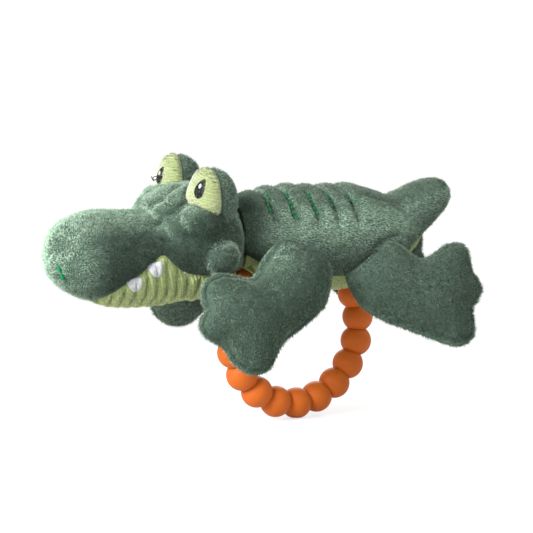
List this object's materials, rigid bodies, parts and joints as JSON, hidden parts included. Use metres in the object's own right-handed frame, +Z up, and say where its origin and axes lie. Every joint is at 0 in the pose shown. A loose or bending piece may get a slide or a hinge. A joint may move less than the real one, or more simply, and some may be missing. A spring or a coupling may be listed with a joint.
{
  "type": "plush teether rattle",
  "caption": "Stuffed alligator teether rattle with raised eyes, flat sewn legs and a beaded silicone teething ring threaded through its belly.",
  "frame": {"origin": "The point where the lowest bead of the teether ring stands on the floor, straight below the ring's centre.", "axes": "+Z up; the ring lies in the XZ plane; the alligator faces -X, its body turned 10 degrees about Z against the ring with the nose towards +Y; +Y is its right side."},
  "size_m": [0.1667, 0.1111, 0.1012],
  "materials": {
    "plush": "short-pile plush",
    "ribbed_cloth": "ribbed plush cloth",
    "pupil_thread": "satin stitch",
    "tooth_satin": "satin",
    "filling": "loose fibre",
    "rattle_plastic": "moulded",
    "pellet_plastic": "moulded",
    "silicone": "matt moulded silicone"
  },
  "bodies": {
    "torso": {"torso_back": "plush", "torso_belly": "ribbed_cloth", "torso_filling": "filling"},
    "head": {"head_upper": "plush", "lower_jaw": "ribbed_cloth", "head_filling_upper": "filling", "head_filling_lower": "filling", "eye_front_left": "ribbed_cloth", "eye_back_left": "plush", "pupil_left": "pupil_thread", "eye_front_right": "ribbed_cloth", "eye_back_right": "plush", "pupil_right": "pupil_thread", "tooth_left_1": "tooth_satin", "tooth_left_2": "tooth_satin", "tooth_right_1": "tooth_satin", "tooth_right_2": "tooth_satin", "rattle_cup": "rattle_plastic", "rattle_cap": "rattle_plastic"},
    "pellet_1": {"rattle_pellet_1": "pellet_plastic"},
    "pellet_2": {"rattle_pellet_2": "pellet_plastic"},
    "pellet_3": {"rattle_pellet_3": "pellet_plastic"},
    "pellet_4": {"rattle_pellet_4": "pellet_plastic"},
    "ring_loop": {"ring_sleeve": "ribbed_cloth"},
    "ring": {"teether_ring": "silicone"},
    "front_leg_left": {"front_leg_left": "plush"},
    "front_leg_right": {"front_leg_right": "plush"},
    "rear_leg_left": {"rear_leg_left": "plush"},
    "rear_leg_right": {"rear_leg_right": "plush"}
  },
  "joints": [
    {"name": "neck_nod", "type": "hinge", "parent": "torso", "child": "head", "pos_m": [-0.0325, 0.00573, 0.0703], "axis": [0.1736, 0.9848, 0], "range_deg": [-10, 10], "stiffness_Nm_per_rad": 0.5},
    {"name": "ring_swing", "type": "hinge", "parent": "torso", "child": "ring_loop", "pos_m": [0, 0, 0.0635], "axis": [1, 0, 0], "range_deg": [-12, 12], "stiffness_Nm_per_rad": 0.4},
    {"name": "ring_turn", "type": "hinge", "parent": "ring_loop", "child": "ring", "pos_m": [0, 0, 0.0345], "axis": [0, 1, 0], "continuous": true},
    {"name": "front_left_fold", "type": "hinge", "parent": "torso", "child": "front_leg_left", "pos_m": [-0.01158, -0.01959, 0.0693], "axis": [0.9151, -0.1614, -0.3697], "range_deg": [-60, 0], "stiffness_Nm_per_rad": 0.3},
    {"name": "front_right_fold", "type": "hinge", "parent": "torso", "child": "front_leg_right", "pos_m": [-0.00418, 0.02237, 0.0693], "axis": [0.9109, -0.1606, -0.38], "range_deg": [0, 40], "stiffness_Nm_per_rad": 0.3},
    {"name": "rear_left_fold", "type": "hinge", "parent": "torso", "child": "rear_leg_left", "pos_m": [0.01619, -0.02337, 0.0623], "axis": [0.6914, -0.1219, 0.7121], "range_deg": [-40, 8], "stiffness_Nm_per_rad": 0.3},
    {"name": "rear_right_fold", "type": "hinge", "parent": "torso", "child": "rear_leg_right", "pos_m": [0.0232, 0.01642, 0.0623], "axis": [0.3029, 0.0481, 0.9518], "range_deg": [0, 40], "stiffness_Nm_per_rad": 0.3},
    {"name": "pellet_1_roll", "type": "slide", "parent": "head", "child": "pellet_1", "axis": [0.9962, -0.0872, 0], "range_m": [-0.0036, 0.0036]},
    {"name": "pellet_2_roll", "type": "slide", "parent": "head", "child": "pellet_2", "axis": [0.9962, -0.0872, 0], "range_m": [-0.0036, 0.0036]},
    {"name": "pellet_3_roll", "type": "slide", "parent": "head", "child": "pellet_3", "axis": [0.9962, -0.0872, 0], "range_m": [-0.0036, 0.0036]},
    {"name": "pellet_4_roll", "type": "slide", "parent": "head", "child": "pellet_4", "axis": [0.9962, -0.0872, 0], "range_m": [-0.0036, 0.0036]}
  ]
}
